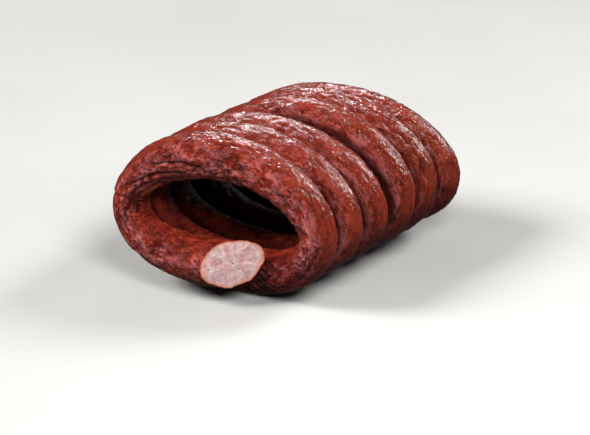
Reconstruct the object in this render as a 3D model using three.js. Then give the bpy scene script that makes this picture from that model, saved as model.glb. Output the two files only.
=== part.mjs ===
// A long smoked sausage wound as a coil of six upright loops that press against each other.
// Millimetres, +Z up. The coil's axis is Y and each loop is longest along X. The sausage starts at a
// slanted cut at the front (-Y), goes left, over the top, right and down, and ends behind, closed.

import * as THREE from 'three';

// ---- Driving dimensions --------------------------------------------------------------------------

const PITCH = 33.8; // from one loop to the next, along Y
const HALF_WIDTH = 16.7; // half thickness along Y, where the neighbours press on it
const HALF_DEPTH_FLAT = 18.5; // half thickness across, along the top and bottom of a loop
const HALF_DEPTH_BEND = 13.5; // half thickness across, in the tight bends at both sides
const PRESSED_FLAT = 1.8; // how much of the underside is flattened where a loop rests
const LEAN = 0.03; // the tops lean back along Y, per millimetre of height
const SLUMP = 0.04; // a loop is widest below its middle, as a share of its half height
const FREE_END_LIFT = 15.5; // how far the cut end stands clear of the surface

// The centreline of each loop: half its length along X, half its height, its shift along X, and how
// much further its left bend bulges to lie against the loop before it.
const LOOPS = [
  { halfLength: 79, halfHeight: 48, shift: -3.5, bulge: 0 },
  { halfLength: 83, halfHeight: 46.5, shift: -4, bulge: 0 },
  { halfLength: 86, halfHeight: 45, shift: -4, bulge: 0 },
  { halfLength: 80, halfHeight: 48, shift: 9, bulge: 11 },
  { halfLength: 81, halfHeight: 46.5, shift: 10, bulge: 9 },
  { halfLength: 89, halfHeight: 42.5, shift: 6, bulge: 0 },
];

// Along the sausage, places are counted in turns: 0 and every whole number are at the bottom of a loop.
const CUT_TURN = -0.041; // middle of the cut face
const END_TURN = 6.03; // middle of the closed end
const CUT_AZIMUTH = 38; // the cut faces this many degrees to the right of -Y
const CUT_RISE = 4; // and this many degrees upwards
const CUT_BLEND_TURNS = 0.1; // length over which the rings turn from the cut to square

// The closed end: distance before the end of the full section, and the share of the section there.
const END_PROFILE = [
  [20, 0.98],
  [13, 0.9],
  [7, 0.72],
  [3, 0.48],
  [0.5, 0.24],
  [-2, 0.15],
  [-6, 0.15],
  [-8, 0.09],
];

const SIDES = 16; // of the section
const RINGS_PER_TURN = 40;
const CUT_RINGS = 5;

// ---- The sausage's centreline and section --------------------------------------------------------

const radians = THREE.MathUtils.degToRad;

/** A dimension of LOOPS at a place, eased from the middle of one loop to the middle of the next. */
function loopValue(name, turn) {
  const place = THREE.MathUtils.clamp(turn - 0.5, 0, LOOPS.length - 1);
  const first = Math.min(Math.floor(place), LOOPS.length - 2);
  const blend = THREE.MathUtils.smoothstep(place - first, 0, 1);
  return THREE.MathUtils.lerp(LOOPS[first][name], LOOPS[first + 1][name], blend);
}

class CoilCurve extends THREE.Curve {
  /** The point of the centreline after a number of turns. */
  getPoint(turn, target = new THREE.Vector3()) {
    const angle = 2 * Math.PI * turn;
    const halfHeight = loopValue('halfHeight', turn);
    const height = -halfHeight * (Math.cos(angle) + SLUMP * (1 - Math.cos(2 * angle)));
    const lift = FREE_END_LIFT * Math.max(0, 1 - 2 * turn) ** 2;
    const bulge = loopValue('bulge', turn) * Math.max(0, Math.sin(angle)) ** 4;
    return target.set(
      loopValue('shift', turn) - loopValue('halfLength', turn) * Math.sin(angle) - bulge,
      PITCH * turn + LEAN * height,
      HALF_DEPTH_FLAT - PRESSED_FLAT + halfHeight + height + lift,
    );
  }

  getTangent(turn) {
    const step = 1e-4;
    return this.getPoint(turn + step).sub(this.getPoint(turn - step)).normalize();
  }

  /** Millimetres of sausage per turn at a place. */
  speed(turn) {
    const step = 1e-4;
    return this.getPoint(turn + step).distanceTo(this.getPoint(turn - step)) / (2 * step);
  }
}

const coil = new CoilCurve();

/** A point of the skin: the section is an ellipse, deeper along the flats than in the bends. */
function skinPoint(turn, side, share = 1) {
  const tangent = coil.getTangent(turn);
  const along = new THREE.Vector3(0, 1, 0).addScaledVector(tangent, -tangent.y).normalize();
  const across = new THREE.Vector3().crossVectors(tangent, along);
  const bend = Math.sin(2 * Math.PI * turn) ** 2;
  const halfDepth = THREE.MathUtils.lerp(HALF_DEPTH_FLAT, HALF_DEPTH_BEND, bend);
  const angle = (2 * Math.PI * (side + 0.5)) / SIDES;
  return coil
    .getPoint(turn)
    .addScaledVector(across, share * halfDepth * Math.cos(angle))
    .addScaledVector(along, share * HALF_WIDTH * Math.sin(angle));
}

/** The place where one line of the skin meets the plane of the cut. */
function cutTurn(side) {
  const normal = new THREE.Vector3(
    Math.sin(radians(CUT_AZIMUTH)) * Math.cos(radians(CUT_RISE)),
    -Math.cos(radians(CUT_AZIMUTH)) * Math.cos(radians(CUT_RISE)),
    Math.sin(radians(CUT_RISE)),
  );
  const plane = new THREE.Plane().setFromNormalAndCoplanarPoint(normal, coil.getPoint(CUT_TURN));
  let outside = CUT_TURN - CUT_BLEND_TURNS;
  let inside = CUT_TURN + CUT_BLEND_TURNS;
  for (let halving = 0; halving < 40; halving += 1) {
    const middle = (outside + inside) / 2;
    if (plane.distanceToPoint(skinPoint(middle, side)) > 0) outside = middle;
    else inside = middle;
  }
  return inside;
}

// ---- The solid -----------------------------------------------------------------------------------

/** The rings of the skin from the cut to the closed end, each a list of points round the section. */
function skinRings() {
  const rings = [];
  const sides = [...Array(SIDES).keys()];
  const squareTurn = CUT_TURN + CUT_BLEND_TURNS;
  const cutTurns = sides.map(cutTurn);
  for (let ring = 0; ring < CUT_RINGS; ring += 1) {
    const blend = ring / CUT_RINGS;
    rings.push(sides.map((side) =>
      skinPoint(THREE.MathUtils.lerp(cutTurns[side], squareTurn, blend), side)));
  }

  const speed = coil.speed(END_TURN);
  const fullTurn = END_TURN - END_PROFILE[0][0] / speed;
  const steps = Math.round((fullTurn - squareTurn) * RINGS_PER_TURN);
  for (let step = 0; step < steps; step += 1) {
    const turn = THREE.MathUtils.lerp(squareTurn, fullTurn, step / steps);
    rings.push(sides.map((side) => skinPoint(turn, side)));
  }
  for (const [distance, share] of END_PROFILE) {
    rings.push(sides.map((side) => skinPoint(END_TURN - distance / speed, side, share)));
  }
  return rings;
}

/** A closed solid from the rings, with a flat fan over the cut and over the tip. */
function solidFromRings(rings) {
  const points = rings.flat();
  const last = rings.length - 1;
  const middleOf = (ring) => ring
    .reduce((sum, point) => sum.add(point), new THREE.Vector3())
    .divideScalar(SIDES);
  points.push(middleOf(rings[0]), middleOf(rings[last]));
  const cutCentre = points.length - 2;
  const tipCentre = points.length - 1;

  const index = [];
  for (let side = 0; side < SIDES; side += 1) {
    const next = (side + 1) % SIDES;
    for (let ring = 0; ring < last; ring += 1) {
      const [a, b] = [ring * SIDES + side, ring * SIDES + next];
      const [c, d] = [a + SIDES, b + SIDES];
      index.push(a, d, b, a, c, d);
    }
    index.push(cutCentre, side, next);
    index.push(tipCentre, last * SIDES + next, last * SIDES + side);
  }

  for (const point of points) point.z = Math.max(point.z, 0); // pressed flat where it rests
  const geometry = new THREE.BufferGeometry().setFromPoints(points);
  geometry.setIndex(index);
  return geometry;
}

function buildSausage() {
  const geometry = solidFromRings(skinRings());
  geometry.computeBoundingBox();
  const centre = geometry.boundingBox.getCenter(new THREE.Vector3());
  geometry.translate(-centre.x, -centre.y, 0); // the origin is below the middle of the whole coil
  geometry.computeVertexNormals();
  const casing = new THREE.MeshStandardMaterial({ color: 0x6b2a1f, roughness: 0.42, metalness: 0 });
  const sausage = new THREE.Mesh(geometry, casing);
  sausage.name = 'sausage_coil';
  return sausage;
}

const part = new THREE.Group();
part.add(buildSausage());

export default part;
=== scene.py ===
"""A long smoked sausage wound as a coil of six upright loops, seen from its cut end.

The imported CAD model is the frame. Its one node, sausage_coil, is replaced by the same coil with the
wrinkled casing and the cut meat as real relief. Lengths are millimetres until a mesh is made.
"""

import itertools
import math

import bpy
import numpy as np
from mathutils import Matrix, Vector


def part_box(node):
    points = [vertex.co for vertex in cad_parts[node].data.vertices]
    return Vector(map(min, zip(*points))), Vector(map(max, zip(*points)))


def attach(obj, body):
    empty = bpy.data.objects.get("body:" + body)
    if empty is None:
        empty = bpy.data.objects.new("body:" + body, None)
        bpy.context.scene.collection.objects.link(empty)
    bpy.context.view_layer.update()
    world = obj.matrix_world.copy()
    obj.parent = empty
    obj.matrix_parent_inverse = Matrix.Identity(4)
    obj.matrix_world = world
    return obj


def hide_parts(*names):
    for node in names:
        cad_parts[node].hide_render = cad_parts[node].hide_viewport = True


MM = 0.001

# The coil, as in the CAD model. Places along it are counted in turns, whole at the bottom of a loop.
PITCH = 33.8
HALF_WIDTH = 16.7
HALF_DEPTH_FLAT = 18.5
HALF_DEPTH_BEND = 13.5
PRESSED_FLAT = 1.8
LEAN = 0.03
SLUMP = 0.04
FREE_END_LIFT = 15.5
HALF_LENGTHS = (79, 83, 86, 80, 81, 89)
HALF_HEIGHTS = (48, 46.5, 45, 48, 46.5, 42.5)
SHIFTS = (-3.5, -4, -4, 9, 10, 6)
LEFT_BULGES = (0, 0, 0, 11, 9, 0)
CUT_TURN = -0.041
END_TURN = 6.03
CUT_AZIMUTH = 38
CUT_RISE = 4
CUT_BLEND_TURNS = 0.1
END_DISTANCES = (24, 20, 13, 7, 3, 0.5, -2, -6, -8)
END_SHARES = (1.0, 0.98, 0.9, 0.72, 0.48, 0.24, 0.15, 0.15, 0.09)
NUB_LENGTH = 8.0

# The mesh: points round a ring, millimetres between rings, rings that turn to the cut, and rings of
# the cut face.
SIDES = 96
RING_GAP = 1.12
CUT_RINGS = 30
CAP_RINGS = 22

# How finely the centreline, the cut and the closed end are worked out.
PATH_SAMPLES = 6001
HALVINGS = 40
END_KNOTS = np.linspace(25.0, -NUB_LENGTH, 67)
END_SMOOTHING = 7

# The flat layout for the export's texture: strips of casing, and the cut face as a disc beside them.
UV_STRIPS = 5
UV_GAP = 4.0
CAP_UV_RADIUS = 20.0
CAP_UV_MIDDLE = 21.0
CAP_UV_SPACE = 46.0

# Height of the casing's relief: how far each kind stands up from the smooth skin or sinks into it.
PUCKER_HEIGHT = 0.40
COARSE_DEPTH = 0.6
LENGTHWISE_DEPTH = 0.8
SLANTED_DEPTH = 0.9
CROSSWISE_DEPTH = 0.7
HOLE_FOLD_DEPTH = 2.5
PINCH_DEPTH = 1.8
RIDGE_DEPTH = 2.0
RELIEF_LIFT = 0.5
CUT_CROWN = 0.7

# The pinch across the first loop's left bend: its place and half width, and millimetres per turn.
PINCH_TURN = 0.268
PINCH_HALF_WIDTH = 1.8
PINCH_SPEED = 380.0

RIDGE_GAP = 6.5  # between the ridges beside the cut

# Deep folds by the hole's upper left edge, on the first loop: where each starts and ends in turns,
# where round the section in half turns, and the length of its wave.
HOLE_FOLDS = (
    (0.26, 0.45, 1.26, 1.10, 9.0),
    (0.27, 0.46, 1.40, 1.17, 7.0),
    (0.30, 0.45, 1.52, 1.28, 8.0),
    (0.37, 0.49, 1.60, 1.36, 10.0),
    (0.20, 0.31, 1.17, 1.20, 6.0),
)
HOLE_FOLD_HALF_WIDTH = 2.1

# The camera's place round the object, and what it looks at.
AZIMUTH = 30.45
ELEVATION = 22.96
LENS = 136.43
SENSOR_WIDTH = 36.0
DISTANCE = 1.7888
AIM = (-0.0028, 0.0003, 0.0540)
AIM_RIGHT = 0.0099
AIM_DOWN = 0.0189

# Lights and floor, in metres; the background is pale to the eye and faint for the object.
LIT_POINT = (0, 0, 0.06)
SUN_ANGLE = math.radians(22)
WORLD_FOR_OBJECT = 0.06
WORLD_FOR_EYE = 0.75
FLOOR_REACH = 6


# ---- Small tools ---------------------------------------------------------------------------------


def smoothstep(low, high, value):
    share = np.clip((value - low) / (high - low), 0.0, 1.0)
    return share * share * (3.0 - 2.0 * share)


def mix(a, b, share):
    return a + (b - a) * share


def unit(vectors):
    return vectors / np.linalg.norm(vectors, axis=-1, keepdims=True)


def random_vectors(cells, seed):
    """Three numbers from -1 to 1 for each whole-number cell, the same on every run."""
    x, y, z = (cells[..., axis].astype(np.uint32) for axis in range(3))
    made = []
    for part in range(3):
        value = x * np.uint32(73856093) ^ y * np.uint32(19349663) ^ z * np.uint32(83492791)
        value = value ^ np.uint32((seed * 3 + part + 1) * 2654435 & 0xFFFFFFFF)
        for factor, shift in ((2246822519, 15), (3266489917, 13), (668265263, 16)):
            value = (value ^ (value >> np.uint32(shift))) * np.uint32(factor)
        made.append((value >> np.uint32(8)).astype(float) / 8388608.0 - 1.0)
    return np.stack(made, axis=-1)


def noise(points, scales, seed):
    """Gradient noise, about -1 to 1, with features of that size in millimetres along each axis."""
    points = points / np.asarray(scales, float)
    base = np.floor(points)
    inside = points - base
    base = base.astype(np.int64)
    ease = inside**3 * (inside * (inside * 6.0 - 15.0) + 10.0)
    total = np.zeros(points.shape[:-1])
    for corner in itertools.product((0, 1), repeat=3):
        slope = random_vectors(base + np.array(corner), seed)
        weight = np.prod(np.where(corner, ease, 1.0 - ease), axis=-1)
        total += weight * np.sum(slope * (inside - np.array(corner)), axis=-1)
    return total * 1.4


def cells(points, scales, seed):
    """How far each point is from the border of its irregular cell, and a number for the cell."""
    points = points / np.asarray(scales, float)
    base = np.floor(points).astype(np.int64)
    first = np.full(points.shape[:-1], 9.0)
    second = first.copy()
    tone = np.zeros(points.shape[:-1])
    for step in itertools.product((-1, 0, 1), repeat=3):
        cell = base + np.array(step)
        gap = np.linalg.norm(cell + 0.5 + 0.5 * random_vectors(cell, seed) - points, axis=-1)
        closer = gap < first
        second = np.where(closer, first, np.minimum(second, gap))
        tone = np.where(closer, random_vectors(cell, seed + 50)[..., 0], tone)
        first = np.minimum(first, gap)
    return second - first, tone


# ---- The coil ------------------------------------------------------------------------------------


def loop_value(values, turn):
    """A dimension of the loops, eased from the middle of one loop to the middle of the next."""
    values = np.asarray(values, float)
    place = np.clip(turn - 0.5, 0.0, len(values) - 1.0)
    first = np.minimum(np.floor(place).astype(int), len(values) - 2)
    return mix(values[first], values[first + 1], smoothstep(0.0, 1.0, place - first))


def centreline(turn):
    turn = np.asarray(turn, float)
    angle = 2 * np.pi * turn
    half_height = loop_value(HALF_HEIGHTS, turn)
    height = -half_height * (np.cos(angle) + SLUMP * (1 - np.cos(2 * angle)))
    lift = FREE_END_LIFT * np.maximum(0.0, 1 - 2 * turn) ** 2
    bulge = loop_value(LEFT_BULGES, turn) * np.maximum(0.0, np.sin(angle)) ** 4
    x = loop_value(SHIFTS, turn) - loop_value(HALF_LENGTHS, turn) * np.sin(angle) - bulge
    y = PITCH * turn + LEAN * height
    z = HALF_DEPTH_FLAT - PRESSED_FLAT + half_height + height + lift
    return np.stack([x, y, z], axis=-1)


def tangent(turn):
    return unit(centreline(turn + 1e-4) - centreline(turn - 1e-4))


def skin(turn, angle, share=1.0):
    """Points of the smooth skin, and the directions in which it faces."""
    forward = tangent(turn)
    along = unit(np.array([0.0, 1.0, 0.0]) - forward * forward[..., 1:2])
    across = np.cross(forward, along)
    depth = mix(HALF_DEPTH_FLAT, HALF_DEPTH_BEND, np.sin(2 * np.pi * turn) ** 2)[..., None]
    share = np.asarray(share, float)[..., None]
    cos, sin = np.cos(angle)[..., None], np.sin(angle)[..., None]
    point = centreline(turn) + share * (depth * cos * across + HALF_WIDTH * sin * along)
    return point, unit(cos / depth * across + sin / HALF_WIDTH * along)


def cut_turns(angles):
    """For each line along the skin, the place where it meets the plane of the cut."""
    azimuth, rise = math.radians(CUT_AZIMUTH), math.radians(CUT_RISE)
    facing = np.array([
        math.sin(azimuth) * math.cos(rise),
        -math.cos(azimuth) * math.cos(rise),
        math.sin(rise),
    ])
    middle = centreline(CUT_TURN)
    outside = np.full(len(angles), CUT_TURN - CUT_BLEND_TURNS)
    inside = np.full(len(angles), CUT_TURN + CUT_BLEND_TURNS)
    for _ in range(HALVINGS):
        turn = (outside + inside) / 2
        beyond = (skin(turn, angles)[0] - middle) @ facing > 0
        outside, inside = np.where(beyond, turn, outside), np.where(beyond, inside, turn)
    return inside, facing


def skin_grid():
    """Turn, angle, share of the section and millimetres along, for every point of the skin."""
    angles = np.pi + 2 * np.pi * (np.arange(SIDES) + 0.5) / SIDES
    starts, facing = cut_turns(angles)
    square = CUT_TURN + CUT_BLEND_TURNS
    blend = np.linspace(0.0, 1.0, CUT_RINGS, endpoint=False)[:, None]
    first = mix(starts[None, :], square, blend)

    fine = np.linspace(square, END_TURN + 0.02, PATH_SAMPLES)
    path = centreline(fine)
    walked = np.concatenate([[0.0], np.cumsum(np.linalg.norm(np.diff(path, axis=0), axis=1))])
    end = np.interp(END_TURN, fine, walked) + NUB_LENGTH
    places = np.linspace(0.0, end, int(end / RING_GAP))
    rest = np.interp(places, walked, fine)
    turns = np.concatenate([first, np.repeat(rest[:, None], SIDES, axis=1)])

    speed = (walked[1] - walked[0]) / (fine[1] - fine[0])
    lengths = np.where(turns <= square, (turns - square) * speed, np.interp(turns, fine, walked))
    to_end = end - NUB_LENGTH - lengths
    shares = np.interp(-END_KNOTS, -np.array(END_DISTANCES), END_SHARES)
    shares = np.pad(shares, END_SMOOTHING // 2, mode="edge")
    shares = np.convolve(shares, np.ones(END_SMOOTHING) / END_SMOOTHING, mode="valid")
    share = np.interp(-to_end, -END_KNOTS, shares)
    return turns, np.broadcast_to(angles, turns.shape), share, lengths, facing


# ---- The casing's relief -------------------------------------------------------------------------


def fold(distance, half_width):
    """1 at the bottom of a fold, falling to 0 at its half width."""
    return 1.0 - smoothstep(0.0, half_width, np.abs(distance))


def unrolled(length, angle):
    """Where the skin's patterns are drawn: along it and round its circle, so they have no join."""
    return np.stack([length, HALF_WIDTH * np.cos(angle), HALF_WIDTH * np.sin(angle)], axis=-1)


def slanted_folds(sheet, slant, seed):
    """Long folds in places, at a slant to the sausage's length: 1 at their bottoms."""
    leaning = sheet.copy()
    leaning[..., 0] += slant * (sheet[..., 1] + sheet[..., 2])
    wave = noise(leaning, (30, 7.5, 7.5), seed)
    return fold(wave, 0.15) * smoothstep(-0.3, 0.1, noise(sheet, (18, 12, 12), seed + 1))


def hole_folds(turn, circle, length, wander):
    """The deep folds by the hole's upper left edge: 1 at their bottoms."""
    deepest = np.zeros_like(length)
    for turn_from, turn_to, start, finish, wave in HOLE_FOLDS:
        share = (turn - turn_from) / (turn_to - turn_from)
        span = smoothstep(0.0, 0.15, share) * smoothstep(1.0, 0.8, share)
        line = np.pi * mix(start, finish, np.clip(share, 0, 1)) + 0.06 * np.sin(length / wave)
        line = line + 0.09 * wander[..., 0]
        one = span * fold((circle - line) * HALF_WIDTH, HOLE_FOLD_HALF_WIDTH)
        deepest = np.maximum(deepest, one)
    return deepest


def pinch_fold(turn, circle, wander):
    """The pinch across the first loop's left bend, on its front: 1 at its bottom."""
    place = PINCH_TURN + 0.004 * np.sin(circle * 3) + 0.004 * wander[..., 1]
    begins = smoothstep(0.95 * np.pi, 1.15 * np.pi, circle)
    ends = 1 - smoothstep(1.75 * np.pi, 1.95 * np.pi, circle)
    return fold((turn - place) * PINCH_SPEED, PINCH_HALF_WIDTH) * begins * ends


def cut_ridges(turn, angle, length, wander):
    """Slanted ridges on the front, where the first loop comes round to the right of the cut."""
    near_cut = smoothstep(0.87, 0.93, turn) * (1 - smoothstep(1.0, 1.05, turn))
    front = smoothstep(0.2, 0.8, -np.sin(angle))
    place = length + 0.9 * HALF_WIDTH * np.mod(angle, 2 * np.pi) + 2.5 * wander[..., 1]
    return near_cut * front * (0.5 + 0.5 * np.sin(2 * np.pi * place / RIDGE_GAP))


def wrinkles(turn, angle, length):
    """Height of the skin's relief in millimetres, and the masks that its material follows."""
    sheet = unrolled(length, angle)
    wander = np.stack([noise(sheet, 8.0, seed) for seed in (11, 12, 13)], axis=-1)
    bent = sheet + 2.4 * wander
    bend = np.sin(2 * np.pi * turn) ** 2
    inner = smoothstep(0.0, 0.9, -np.cos(angle))

    lumps = 0.8 * noise(sheet, (40, 22, 22), 1) + 0.45 * noise(sheet, (15, 11, 11), 2)
    rough = smoothstep(-0.5, 0.35, noise(sheet, (32, 18, 18), 3))
    coarse_gap, tone = cells(bent, (17.0, 10.0, 10.0), 4)
    broken = smoothstep(-0.4, 0.25, noise(sheet, (9, 7, 7), 6))
    coarse = (1.0 - smoothstep(0.02, 0.27, coarse_gap)) * broken
    lengthwise = slanted_folds(bent, 0.15, 7) * mix(0.6, 1.0, rough)
    rising = slanted_folds(bent, 0.9, 21) * mix(0.4, 1.0, rough)
    falling = slanted_folds(bent, -0.7, 24) * mix(0.4, 1.0, rough)
    crosswise = fold(noise(bent, (5.5, 17, 17), 9), 0.24) * bend * mix(0.25, 1.0, inner)
    puckers = noise(bent, (3.4, 8, 8), 15) * smoothstep(-0.2, 0.5, np.cos(angle))
    flank = smoothstep(0.30, 0.85, np.abs(np.sin(angle)) + 0.22 * noise(sheet, (14, 9, 9), 16))

    circle = np.mod(angle, 2 * np.pi)
    hole_edge = hole_folds(turn, circle, length, wander)
    pinch = pinch_fold(turn, circle, wander)
    ridges = cut_ridges(turn, angle, length, wander)

    # The outer side of the coil is stretched, so its folds are shallower.
    outer = smoothstep(0.1, 0.9, np.cos(angle))
    calm = 1.0 - 0.3 * outer
    rising, falling, coarse = rising * calm, falling * calm, coarse * calm
    height = (
        lumps + PUCKER_HEIGHT * puckers - COARSE_DEPTH * coarse - LENGTHWISE_DEPTH * lengthwise
        - SLANTED_DEPTH * rising - SLANTED_DEPTH * falling - CROSSWISE_DEPTH * crosswise
        - HOLE_FOLD_DEPTH * hole_edge - PINCH_DEPTH * pinch - RIDGE_DEPTH * ridges + RELIEF_LIFT)

    # Only the first loop's front and the last loop's back are free of a neighbour.
    sideways = np.abs(np.sin(angle))
    free = np.where(np.sin(angle) < 0, smoothstep(1.06, 0.98, turn), smoothstep(4.94, 5.02, turn))
    touching = smoothstep(0.75, 1.0, sideways) * (1 - free)
    height = np.where(height > 0, height * (1 - 0.9 * touching), height)

    # Painted shade: the bottoms of the folds, the pinch and the ridges by the cut are darkened in the
    # colour, on top of their real depth.
    dark = np.maximum.reduce([
        0.6 * coarse**2, 0.9 * lengthwise**2, 1.0 * rising**2, 0.95 * falling**2,
        0.9 * crosswise**2, hole_edge, pinch, 0.95 * smoothstep(0.45, 0.9, ridges)])
    # Painted shade between the loops: the skin darkens towards where each loop meets its neighbour,
    # further round on the coil's inner side. It goes out in the same mask as the painted fold shade.
    into_seam = (sideways - mix(0.80, 0.38, inner)) / mix(0.18, 0.45, inner)
    seam_shade = 0.92 * (1 - free) * smoothstep(0.0, 1.0, into_seam)
    return height, {"crease_shade": np.maximum(dark, seam_shade), "flank": flank, "inner": inner,
                    "outer": outer, "cell_tone": tone * 0.5 + 0.5}


def cut_face(rim, facing):
    """Points of the cut from its rim to its middle, with slight relief, and their share of the way."""
    middle = rim.mean(axis=0)
    shares = np.linspace(1.0, 0.0, CAP_RINGS + 1)[1:-1]
    points = [mix(middle, rim, share) for share in shares]
    points = np.concatenate(points + [middle[None, :]])
    shares = np.concatenate([np.repeat(shares, len(rim)), [0.0]])
    bumps = 0.35 * noise(points, 5.0, 21) + 0.2 * noise(points, 2.2, 22)
    crown = CUT_CROWN * (1 - shares**2)
    points = points + facing * ((bumps * smoothstep(1.0, 0.9, shares) + crown)[:, None])
    return points, shares


# ---- The mesh ------------------------------------------------------------------------------------


def ring_quads(first, second):
    """Corner numbers of the quads between two rings."""
    after = np.roll(np.arange(SIDES), -1)
    return np.stack([first, second, second[after], first[after]], axis=-1)


def casing_uvs(lengths, rows):
    """Flat layout of the skin in strips one above the other, for the export's texture."""
    around = 2 * np.pi * HALF_WIDTH
    strip = (lengths.max() - lengths.min() + UV_GAP) / UV_STRIPS
    size = max(strip + CAP_UV_SPACE, UV_STRIPS * (around + UV_GAP)) + UV_GAP
    faces = np.arange(rows)
    middle = (lengths[:-1].mean(axis=1) + lengths[1:].mean(axis=1)) / 2 - lengths.min()
    band = np.minimum((middle / strip).astype(int), UV_STRIPS - 1)
    corners = []
    for ring, side in ((0, 0), (1, 0), (1, 1), (0, 1)):
        u = lengths[faces + ring] - lengths.min()
        u = np.roll(u, -side, axis=1) - (band * strip)[:, None]
        v = np.broadcast_to((np.arange(SIDES) + side) / SIDES * around, u.shape)
        v = v + (band * (around + UV_GAP))[:, None]
        corners.append(np.stack([u + UV_GAP, v + UV_GAP / 2], axis=-1))
    return np.stack(corners, axis=2) / size, size, strip


def cap_uvs(size, strip):
    """Flat layout of the cut face's quads, and of the triangles round its middle."""
    centre = np.array([strip + UV_GAP * 2 + CAP_UV_MIDDLE, UV_GAP + CAP_UV_MIDDLE]) / size
    reach = CAP_UV_RADIUS / size
    turn_round = 2 * np.pi * (np.arange(SIDES + 1)) / SIDES
    circle = np.stack([np.cos(turn_round), np.sin(turn_round)], axis=-1)
    spokes = np.linspace(1.0, 0.0, CAP_RINGS + 1)
    quads = []
    for row in range(CAP_RINGS - 1):
        near, far = spokes[row] * circle, spokes[row + 1] * circle
        quads.append(np.stack([far[:-1], near[:-1], near[1:], far[1:]], axis=1))
    inner = spokes[CAP_RINGS - 1] * circle
    triangles = np.stack([inner[:-1], inner[1:], inner[:-1] * 0], axis=1)
    return centre + reach * np.concatenate(quads), centre + reach * triangles


def build_sausage():
    """The whole sausage as one mesh: the casing with its relief, the cut face and the closed end."""
    turns, angles, shares, lengths, facing = skin_grid()
    points, normals = skin(turns, angles, shares)
    height, masks = wrinkles(turns, angles, lengths)
    # Towards the cut the relief gives way to a slightly uneven rim.
    number = np.arange(len(turns))[:, None]
    fade = shares * smoothstep(-4.0, 4.0, number)
    near_cut = smoothstep(14.0, 0.0, number)
    sheet = unrolled(lengths, angles)
    uneven = near_cut * 1.6 * noise(sheet, (30, 10, 10), 31)
    uneven = uneven + near_cut * 0.7 * noise(sheet, 5.0, 32)
    points = points + normals * (height * fade + uneven)[..., None]

    rows, rim = len(turns) - 1, points[0]
    cap, cap_share = cut_face(rim, facing)
    tip = points[-1].mean(axis=0) + tangent(END_TURN) * 1.0
    every = np.concatenate([points.reshape(-1, 3), cap, tip[None, :]])
    every[:, 2] = np.maximum(every[:, 2], 0.0)

    ring = np.arange(SIDES)
    quads = np.concatenate([ring_quads(ring + row * SIDES, ring + (row + 1) * SIDES)
                            for row in range(rows)])
    first_cap = points.shape[0] * SIDES
    cap_rows = [ring] + [ring + first_cap + row * SIDES for row in range(CAP_RINGS - 1)]
    cap_quads = np.concatenate([ring_quads(cap_rows[row + 1], cap_rows[row])
                                for row in range(CAP_RINGS - 1)])
    middle, tip_number = first_cap + (CAP_RINGS - 1) * SIDES, len(every) - 1
    after = np.roll(ring, -1)
    middle_faces = np.stack([cap_rows[-1], cap_rows[-1][after], np.full(SIDES, middle)], axis=-1)
    last = ring + rows * SIDES
    tip_faces = np.stack([last[after], last, np.full(SIDES, tip_number)], axis=-1)

    skin_uv, size, strip = casing_uvs(lengths, rows)
    cap_uv, middle_uv = cap_uvs(size, strip)
    tip_from, tip_to = skin_uv[-1][:, 1], skin_uv[-1][:, 2]
    tip_point = (tip_from + tip_to) / 2 + np.array([1.5 / size, 0.0])
    tip_uv = np.stack([tip_to, tip_from, tip_point], axis=1)

    faces = quads.tolist() + cap_quads.tolist() + middle_faces.tolist() + tip_faces.tolist()
    layout = np.concatenate([part.reshape(-1, 2) for part in (skin_uv, cap_uv, middle_uv, tip_uv)])
    materials = np.zeros(len(faces), int)
    materials[len(quads):len(quads) + len(cap_quads) + SIDES] = 1

    blank = np.zeros(len(cap) + 1)
    fields = {name: np.concatenate([mask.ravel(), blank]) for name, mask in masks.items()}
    # Painted shade: 1 low on the skin, fading to 0 higher up, reaching a little higher towards the
    # right.
    fields["low"] = smoothstep(44.0, 10.0, every[:, 2] - 0.22 * every[:, 0])
    fields["rim"] = np.concatenate([np.ones(points.shape[0] * SIDES), cap_share, [1.0]])
    sheet = np.concatenate([sheet.reshape(-1, 3), every[first_cap:]])
    return every, faces, materials, layout, fields, sheet


def place_in_frame():
    """How far the coil moves so that its middle is above the middle of the CAD node."""
    low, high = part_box("sausage_coil")
    along = np.linspace(CUT_TURN, END_TURN, 2401)[:, None]
    round_section = np.linspace(0, 2 * np.pi, 65)[None, :]
    smooth = skin(along, round_section)[0].reshape(-1, 3)
    middle = (smooth.min(axis=0) + smooth.max(axis=0)) / 2
    return np.array([
        (low.x + high.x) / 2 / MM - middle[0], (low.y + high.y) / 2 / MM - middle[1], 0])


def sausage_object():
    every, faces, materials, layout, fields, sheet = build_sausage()
    mesh = bpy.data.meshes.new("smoked_sausage")
    mesh.from_pydata(((every + place_in_frame()) * MM).tolist(), [], faces)
    mesh.polygons.foreach_set("material_index", materials.astype(np.int32))
    mesh.polygons.foreach_set("use_smooth", np.ones(len(faces), bool))
    mesh.uv_layers.new(name="OFBake").data.foreach_set("uv", layout.astype(np.float32).ravel())
    for name, values in fields.items():
        mesh.attributes.new(name, "FLOAT", "POINT").data.foreach_set(
            "value", values.astype(np.float32))
    mesh.attributes.new("sheet", "FLOAT_VECTOR", "POINT").data.foreach_set(
        "vector", sheet.astype(np.float32).ravel())
    ends = np.zeros(len(mesh.edges) * 2, np.int32)
    mesh.edges.foreach_get("vertices", ends)
    on_rim = (ends.reshape(-1, 2) < SIDES).all(axis=1)
    mesh.attributes.new("sharp_edge", "BOOLEAN", "EDGE").data.foreach_set("value", on_rim)
    mesh.update()
    obj = bpy.data.objects.new("smoked_sausage", mesh)
    bpy.context.scene.collection.objects.link(obj)
    mesh.materials.append(casing_material())
    mesh.materials.append(meat_material())
    return obj


# ---- Materials -----------------------------------------------------------------------------------

# The casing's colours.
BROWN_DARK = (0.055, 0.0040, 0.0038)
BROWN = (0.120, 0.0100, 0.0060)
BROWN_LIGHT = (0.200, 0.0230, 0.0085)
ORANGE_BROWN = (0.270, 0.040, 0.013)
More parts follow.
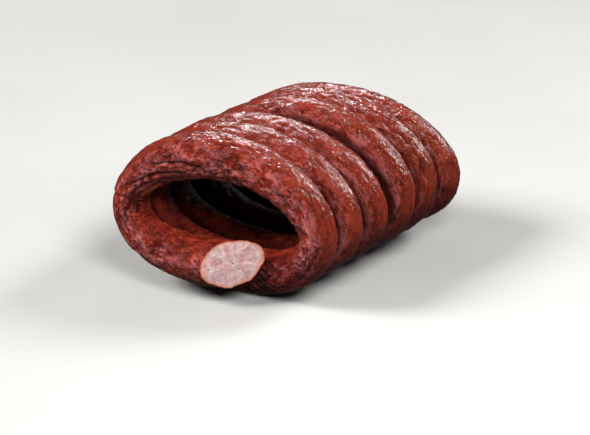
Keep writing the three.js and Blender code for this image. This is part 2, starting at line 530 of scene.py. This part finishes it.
# Partly the casing's dusty bloom, partly painted sheen.
PINK_MAUVE = (0.330, 0.092, 0.092)
OUTER_BROWN = (0.120, 0.0140, 0.0055)
# Multiplied over the lower skin as painted shade.
UNDERSIDE_PAINTED_SHADE = (0.30, 0.17, 0.20)
# Near black, painted as shade in the folds, the hair-thin lines and between the loops.
CREASE_SHADE_BLACK = (0.012, 0.0014, 0.0015)

# The cut face's colours.
MEAT_ROSE = (0.345, 0.150, 0.160)
MEAT_PINK = (0.395, 0.235, 0.235)
MEAT_PALE = (0.430, 0.325, 0.310)
FAT = (0.46, 0.375, 0.350)
SPECK = (0.09, 0.045, 0.042)
DOT = (0.10, 0.045, 0.042)
MIDDLE_SPOT = (0.05, 0.02, 0.02)
RIM_PEACH = (0.40, 0.17, 0.095)
RIM_CASING = (0.30, 0.06, 0.025)

FLOOR_DARK = (0.30, 0.295, 0.285)
FLOOR_LIGHT = (0.33, 0.325, 0.315)


class Shader:
    """A material under construction, with short calls for its nodes."""

    def __init__(self, name):
        self.material = bpy.data.materials.new(name)
        self.material.use_nodes = True
        self.tree = self.material.node_tree
        self.skin = self.tree.nodes["Principled BSDF"]

    def plug(self, socket, value):
        if isinstance(value, bpy.types.NodeSocket):
            self.tree.links.new(value, socket)
        elif value is not None:
            socket.default_value = value

    def attribute(self, name, output="Fac"):
        node = self.tree.nodes.new("ShaderNodeAttribute")
        node.attribute_name = name
        return node.outputs[output]

    def math(self, operation, a, b=None, c=None):
        node = self.tree.nodes.new("ShaderNodeMath")
        node.operation = operation
        for socket, value in zip(node.inputs, (a, b, c)):
            self.plug(socket, value)
        return node.outputs[0]

    def noise(self, vector, scale, detail=3.0, roughness=0.55):
        node = self.tree.nodes.new("ShaderNodeTexNoise")
        for name, value in (
            ("Vector", vector), ("Scale", scale), ("Detail", detail), ("Roughness", roughness)):
            self.plug(node.inputs[name], value)
        return node.outputs["Fac"]

    def voronoi(self, vector, scale, feature="F1", output="Distance"):
        node = self.tree.nodes.new("ShaderNodeTexVoronoi")
        node.feature = feature
        self.plug(node.inputs["Vector"], vector)
        self.plug(node.inputs["Scale"], scale)
        return node.outputs[output]

    def stretched(self, vector, scale):
        """The vector scaled by direction: a low number draws a pattern out that way."""
        node = self.tree.nodes.new("ShaderNodeVectorMath")
        node.operation = "MULTIPLY"
        self.plug(node.inputs[0], vector)
        node.inputs[1].default_value = scale
        return node.outputs[0]

    def wandering(self, vector, scale, reach):
        """The vector pushed about by soft noise, so that what is drawn on it isn't regular."""
        node = self.tree.nodes.new("ShaderNodeTexNoise")
        self.plug(node.inputs["Vector"], vector)
        self.plug(node.inputs["Scale"], scale)
        node.inputs["Detail"].default_value = 2.0
        push = self.tree.nodes.new("ShaderNodeVectorMath")
        push.operation = "MULTIPLY_ADD"
        self.plug(push.inputs[0], node.outputs["Color"])
        push.inputs[1].default_value = (reach,) * 3
        self.plug(push.inputs[2], vector)
        return push.outputs[0]

    def turned(self, vector, angle):
        """The vector turned about its third axis, so that what is drawn on it lies at a slant."""
        node = self.tree.nodes.new("ShaderNodeVectorRotate")
        node.rotation_type = "Z_AXIS"
        self.plug(node.inputs["Vector"], vector)
        node.inputs["Angle"].default_value = angle
        return node.outputs[0]

    def hairlines(self, vector, width, where):
        """Thin wandering lines, 1 in their middle, only where the other value is high."""
        wave = self.math("ABSOLUTE", self.math("SUBTRACT", self.noise(vector, 1.0, 1.0), 0.5))
        line = self.ramp(wave, (0.0, 1.0), (width, 0.0))
        return self.math("MULTIPLY", line, self.ramp(where, (0.44, 0.0), (0.54, 1.0)))

    def ramp(self, value, *stops):
        """Numbers or colours eased between places from 0 to 1."""
        node = self.tree.nodes.new("ShaderNodeValToRGB")
        self.plug(node.inputs["Fac"], value)
        while len(node.color_ramp.elements) < len(stops):
            node.color_ramp.elements.new(0.5)
        for element, (place, colour) in zip(node.color_ramp.elements, stops):
            element.position = place
            element.color = (*colour, 1) if isinstance(colour, tuple) else (colour,) * 3 + (1,)
        return node.outputs["Color"]

    def blend(self, share, a, b, kind="MIX"):
        node = self.tree.nodes.new("ShaderNodeMix")
        node.data_type, node.blend_type = "RGBA", kind
        self.plug(node.inputs["Factor"], share)
        self.plug(node.inputs["A"], (*a, 1) if isinstance(a, tuple) else a)
        self.plug(node.inputs["B"], (*b, 1) if isinstance(b, tuple) else b)
        return node.outputs["Result"]

    def bump(self, height, distance, strength, under=None):
        """Relief of that height in metres, on top of the relief under it."""
        node = self.tree.nodes.new("ShaderNodeBump")
        self.plug(node.inputs["Height"], height)
        node.inputs["Distance"].default_value = distance
        node.inputs["Strength"].default_value = strength
        if under is not None:
            self.plug(node.inputs["Normal"], under)
        return node.outputs["Normal"]


def thin_lines(s, wander, mottle, patches, blotches):
    """Hair-thin creases, lengthwise and at two slants, and a crackle: each only in some patches."""
    rising, falling = s.turned(wander, 0.75), s.turned(wander, -0.65)
    lengthwise = s.hairlines(s.stretched(wander, (0.05, 0.17, 0.17)), 0.055, mottle)
    rising = s.hairlines(s.stretched(rising, (0.06, 0.20, 0.20)), 0.055, patches)
    falling = s.hairlines(s.stretched(falling, (0.08, 0.22, 0.22)), 0.06, blotches)
    lines = s.math("MAXIMUM", lengthwise, s.math("MAXIMUM", rising, falling))
    crackle = s.voronoi(s.stretched(wander, (0.24, 0.40, 0.40)), 1.0, "DISTANCE_TO_EDGE")
    crackle = s.math("ADD", crackle, s.ramp(patches, (0.50, 0.16), (0.62, 0.0)))
    return s.math("MAXIMUM", lines, s.ramp(crackle, (0.0, 0.6), (0.07, 0.0)))


def casing_material():
    """Smoked natural casing: pink-mauve flats, partly painted sheen, with orange-brown borders and
    thin black creases of painted shade.
    """
    s = Shader("smoked_casing")
    sheet = s.attribute("sheet", "Vector")
    crease_shade, flank, tone = (s.attribute(name) for name in ("crease_shade", "flank", "cell_tone"))
    outer, inner, low = (s.attribute(name) for name in ("outer", "inner", "low"))
    wander = s.wandering(s.wandering(sheet, 0.09, 9.0), 0.4, 1.6)
    blotches = s.noise(s.stretched(sheet, (0.045, 0.07, 0.07)), 1.0, 4.0, 0.6)
    mottle = s.noise(s.stretched(sheet, (0.25, 0.35, 0.35)), 1.0, 3.0, 0.6)
    patches = s.noise(s.stretched(sheet, (0.06, 0.10, 0.10)), 1.0, 2.0)
    flats = s.noise(s.stretched(wander, (0.10, 0.17, 0.17)), 1.0, 1.5, 0.5)
    lines = thin_lines(s, wander, mottle, patches, blotches)
    lines = s.math("MULTIPLY", lines, s.math("MULTIPLY_ADD", flank, 0.45, 0.55))

    base = s.ramp(blotches, (0.36, BROWN_DARK), (0.50, BROWN), (0.64, BROWN_LIGHT))
    base = s.blend(s.ramp(mottle, (0.45, 0.0), (0.68, 0.5)), base, ORANGE_BROWN)
    # The pink-mauve on the flanks is partly the casing's dusty bloom and partly painted sheen: a soft
    # reflection put into the colour instead of coming from a lamp.
    pink = s.math("MULTIPLY", s.ramp(flats, (0.42, 0.0), (0.58, 1.0)),
                  s.math("MULTIPLY", flank, s.math("MULTIPLY_ADD", tone, 0.6, 0.4)))
    pink = s.math("MULTIPLY", pink, s.math("MULTIPLY_ADD", inner, -0.8, 1.0))
    base = s.blend(pink, base, PINK_MAUVE)
    base = s.blend(s.math("MULTIPLY", outer, 0.6), base, OUTER_BROWN)
    # Painted shade: the lower skin is multiplied darker.
    base = s.blend(s.math("MULTIPLY", low, 0.9), base, UNDERSIDE_PAINTED_SHADE, "MULTIPLY")
    # Painted shade: the folds, the seams between the loops and the hair-thin lines are blended towards
    # near black.
    dark = s.math("MAXIMUM", crease_shade, s.math("MULTIPLY", lines, 0.95))
    base = s.blend(dark, base, CREASE_SHADE_BLACK)
    s.plug(s.skin.inputs["Base Color"], base)

    # Glossy, but dull in the creases and on the coil's inner side.
    gloss = s.noise(s.stretched(sheet, (0.3, 0.6, 0.6)), 1.0, 3.0, 0.6)
    dull = s.math("MAXIMUM", inner, crease_shade)
    gloss = s.math("MULTIPLY_ADD", dull, 0.5, s.ramp(gloss, (0.35, 0.09), (0.65, 0.18)))
    s.plug(s.skin.inputs["Roughness"], gloss)
    s.skin.inputs["Specular IOR Level"].default_value = 0.4

    dents = s.math("MULTIPLY", flats, s.math("MULTIPLY_ADD", flank, 0.7, 0.3))
    pucker = s.noise(s.stretched(wander, (0.45, 0.12, 0.12)), 1.0, 1.0)
    grain = s.noise(s.stretched(sheet, (0.35, 0.6, 0.6)), 1.0, 1.0, 0.5)
    normal = s.bump(s.math("SUBTRACT", 1.0, lines), 0.0004, 0.9)
    normal = s.bump(dents, 0.0026, 0.9, normal)
    normal = s.bump(pucker, 0.0008, 0.7, normal)
    normal = s.bump(grain, 0.00010, 0.7, normal)
    s.plug(s.skin.inputs["Normal"], normal)
    return s.material


def meat_material():
    """Fine-ground pink meat with pale fat, dark specks, a spot in the middle and a peach rim."""
    s = Shader("cut_meat")
    sheet = s.attribute("sheet", "Vector")
    rim = s.attribute("rim")
    marble = s.noise(sheet, 0.20, 5.0, 0.66)
    grind = s.voronoi(sheet, 0.62, output="Color")
    fat = s.voronoi(sheet, 0.38, "SMOOTH_F1")
    base = s.ramp(marble, (0.36, MEAT_ROSE), (0.48, MEAT_PINK), (0.60, MEAT_PALE))
    base = s.blend(0.16, base, grind, "SOFT_LIGHT")
    base = s.blend(s.ramp(fat, (0.20, 0.55), (0.34, 0.0)), base, FAT)
    specks = s.voronoi(sheet, 0.23)
    base = s.blend(s.ramp(specks, (0.11, 0.85), (0.17, 0.0)), base, SPECK)
    dots = s.voronoi(sheet, 0.50)
    base = s.blend(s.ramp(dots, (0.09, 0.75), (0.16, 0.0)), base, DOT)
    base = s.blend(s.ramp(rim, (0.020, 0.9), (0.042, 0.0)), base, MIDDLE_SPOT)
    base = s.blend(s.ramp(rim, (0.84, 0.0), (0.94, 0.75)), base, RIM_PEACH)
    base = s.blend(s.ramp(rim, (0.955, 0.0), (0.985, 1.0)), base, RIM_CASING)
    s.plug(s.skin.inputs["Base Color"], base)
    s.plug(s.skin.inputs["Roughness"], s.ramp(marble, (0.3, 0.42), (0.7, 0.6)))
    grain = s.noise(sheet, 0.9, 4.0, 0.6)
    s.plug(s.skin.inputs["Normal"], s.bump(grain, 0.0004, 0.7))
    return s.material


def floor_material():
    s = Shader("pale_floor")
    place = s.tree.nodes.new("ShaderNodeTexCoord").outputs["Object"]
    base = s.ramp(s.noise(place, 3.0), (0.3, FLOOR_DARK), (0.7, FLOOR_LIGHT))
    s.plug(s.skin.inputs["Base Color"], base)
    s.plug(s.skin.inputs["Roughness"], 0.9)
    return s.material


# ---- Floor, lights and camera --------------------------------------------------------------------


def camera_directions():
    azimuth, elevation = math.radians(AZIMUTH), math.radians(ELEVATION)
    back = Vector((math.sin(azimuth) * math.cos(elevation),
                   -math.cos(azimuth) * math.cos(elevation), math.sin(elevation)))
    right = Vector((math.cos(azimuth), math.sin(azimuth), 0.0))
    return back, right, back.cross(right)


def add_camera():
    back, right, up = camera_directions()
    aim = Vector(AIM) + right * AIM_RIGHT - up * AIM_DOWN
    data = bpy.data.cameras.new("camera")
    data.lens, data.sensor_width, data.clip_end = LENS, SENSOR_WIDTH, 20.0
    camera = bpy.data.objects.new("camera", data)
    camera.location = aim + back * DISTANCE
    camera.rotation_mode = "QUATERNION"
    camera.rotation_quaternion = (-back).to_track_quat("-Z", "Y")
    bpy.context.scene.collection.objects.link(camera)
    bpy.context.scene.camera = camera


def add_light(name, place, size, power, gives):
    """A soft rectangular light that faces the object and gives either "gloss" or "diffuse" light."""
    data = bpy.data.lights.new(name, "AREA")
    data.shape, data.size, data.size_y = "RECTANGLE", *size
    data.energy = power
    light = bpy.data.objects.new(name, data)
    light.visible_glossy, light.visible_diffuse = gives == "gloss", gives == "diffuse"
    light.location = place
    light.rotation_mode = "QUATERNION"
    light.rotation_quaternion = (Vector(LIT_POINT) - Vector(place)).to_track_quat("-Z", "Y")
    bpy.context.scene.collection.objects.link(light)


def add_sun(name, toward, strength):
    """A soft even light from one side, for fill only."""
    data = bpy.data.lights.new(name, "SUN")
    data.energy, data.angle = strength, SUN_ANGLE
    light = bpy.data.objects.new(name, data)
    light.visible_glossy = False
    light.rotation_mode = "QUATERNION"
    light.rotation_quaternion = toward.to_track_quat("Z", "Y")
    bpy.context.scene.collection.objects.link(light)


def add_world():
    """A background that is pale to the camera and lights the object only faintly."""
    world = bpy.data.worlds.new("studio")
    world.use_nodes = True
    tree = world.node_tree
    path = tree.nodes.new("ShaderNodeLightPath")
    strength = tree.nodes.new("ShaderNodeMapRange")
    strength.inputs["To Min"].default_value = WORLD_FOR_OBJECT
    strength.inputs["To Max"].default_value = WORLD_FOR_EYE
    tree.links.new(path.outputs["Is Camera Ray"], strength.inputs["Value"])
    tree.links.new(strength.outputs["Result"], tree.nodes["Background"].inputs["Strength"])
    tree.nodes["Background"].inputs["Color"].default_value = (1, 1, 1, 1)
    bpy.context.scene.world = world


def add_lights():
    back, right, up = camera_directions()
    add_light("top_strip", -0.35 * back - 0.05 * right + 1.00 * up, (0.6, 0.022), 11, "gloss")
    add_light("right_strip", -0.35 * back + 0.80 * right + 0.75 * up, (0.3, 0.7), 7, "gloss")
    add_light("front_fill", 1.00 * back + 0.25 * right + 0.40 * up, (0.4, 0.4), 15, "diffuse")
    add_sun("left_fill", 0.45 * back - 1.00 * right + 0.68 * up, 6.8)
    add_sun("right_fill", -0.05 * back + 0.95 * right + 0.85 * up, 4.4)
    add_world()
    bpy.context.scene.view_settings.view_transform = "Standard"


def add_floor():
    mesh = bpy.data.meshes.new("floor")
    around = ((-1, -1), (1, -1), (1, 1), (-1, 1))
    mesh.from_pydata([(x * FLOOR_REACH, y * FLOOR_REACH, 0) for x, y in around], [], [(0, 1, 2, 3)])
    mesh.materials.append(floor_material())
    floor = bpy.data.objects.new("floor", mesh)
    bpy.context.scene.collection.objects.link(floor)
    floor.visible_glossy = False


def corners(bounds):
    """A box as plain lists of numbers."""
    return [[round(value, 5) for value in corner] for corner in bounds]


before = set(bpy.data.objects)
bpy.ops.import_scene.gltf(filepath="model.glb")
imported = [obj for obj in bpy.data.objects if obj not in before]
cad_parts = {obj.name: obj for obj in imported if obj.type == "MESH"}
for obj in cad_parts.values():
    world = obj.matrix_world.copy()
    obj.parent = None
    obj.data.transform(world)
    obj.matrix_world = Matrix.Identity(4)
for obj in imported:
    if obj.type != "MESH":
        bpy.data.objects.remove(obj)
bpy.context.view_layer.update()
sausage = sausage_object()
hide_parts("sausage_coil")
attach(sausage, "root")
add_floor()
add_lights()
add_camera()
